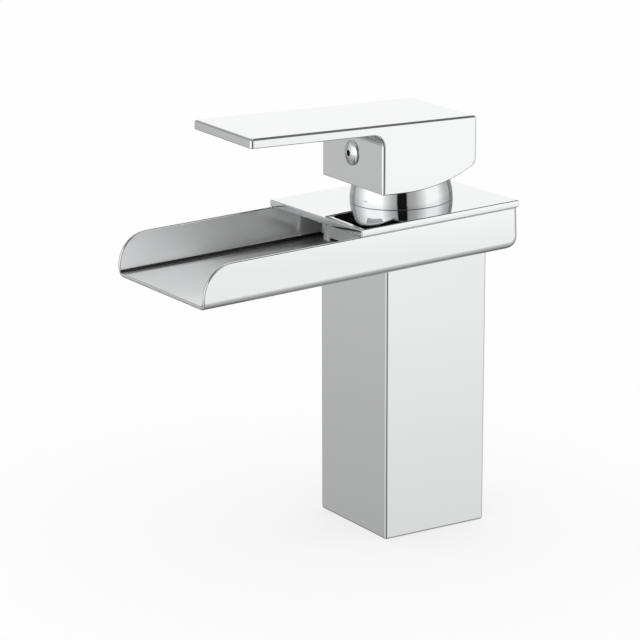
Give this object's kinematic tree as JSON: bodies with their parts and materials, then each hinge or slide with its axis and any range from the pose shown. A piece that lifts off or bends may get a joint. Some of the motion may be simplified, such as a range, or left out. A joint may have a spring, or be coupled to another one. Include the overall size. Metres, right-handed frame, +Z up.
{
  "type": "waterfall basin faucet",
  "caption": "Single-lever waterfall basin faucet: square column, open sloping trough spout, cover plate, round bonnet and a flat lever on a square block.",
  "frame": {"origin": "centre of the column's foot, on the deck", "axes": "+Z up, -Y the way the spout points, +X the cold side, to the user's right"},
  "size_m": [0.07, 0.1506, 0.1754],
  "materials": {
    "polished_chrome": "polished chrome plate on brass",
    "turned_brass": "turned, unplated",
    "steel": "drawn or turned stainless steel",
    "cartridge_plastic": "moulded, fine satin",
    "ceramic": "lapped ceramic",
    "black_rubber": "moulded, satin"
  },
  "bodies": {
    "faucet_body": {"column_shell": "polished_chrome", "base_plug": "turned_brass", "base_seal": "black_rubber", "chamber_floor": "turned_brass", "hot_feed_tube": "steel", "cold_feed_tube": "steel", "spout_trough": "polished_chrome", "cover_plate": "polished_chrome", "valve_housing": "turned_brass", "retaining_nut": "turned_brass", "bonnet": "polished_chrome", "cartridge_body": "cartridge_plastic", "cartridge_base": "cartridge_plastic", "base_seals": "black_rubber", "disc_seals": "black_rubber", "fixed_disc": "ceramic"},
    "rotor": {"stem_guide": "cartridge_plastic", "guide_ring": "black_rubber", "pivot_pin": "steel"},
    "disc": {"disc_carrier": "cartridge_plastic", "moving_disc": "ceramic"},
    "lever": {"stem": "steel", "handle": "polished_chrome", "handle_screw": "polished_chrome"}
  },
  "joints": [
    {"name": "lever_swivel", "type": "hinge", "parent": "faucet_body", "child": "rotor", "pos_m": [0, -0.00126, 0.14037], "axis": [0, -0.0419, 0.9991], "range_deg": [-47, 53]},
    {"name": "lever_lift", "type": "hinge", "parent": "rotor", "child": "lever", "pos_m": [0, -0.00126, 0.14037], "axis": [-0.9986, 0.0523, 0.0022], "range_deg": [0, 22]},
    {"name": "disc_slide", "type": "slide", "parent": "rotor", "child": "disc", "axis": [-0.0523, -0.9978, -0.0418], "range_m": [0, 0.0041]}
  ],
  "couplings": [
    {"joint": "disc_slide", "follows": "lever_lift", "m_per_rad": 0.010635}
  ]
}
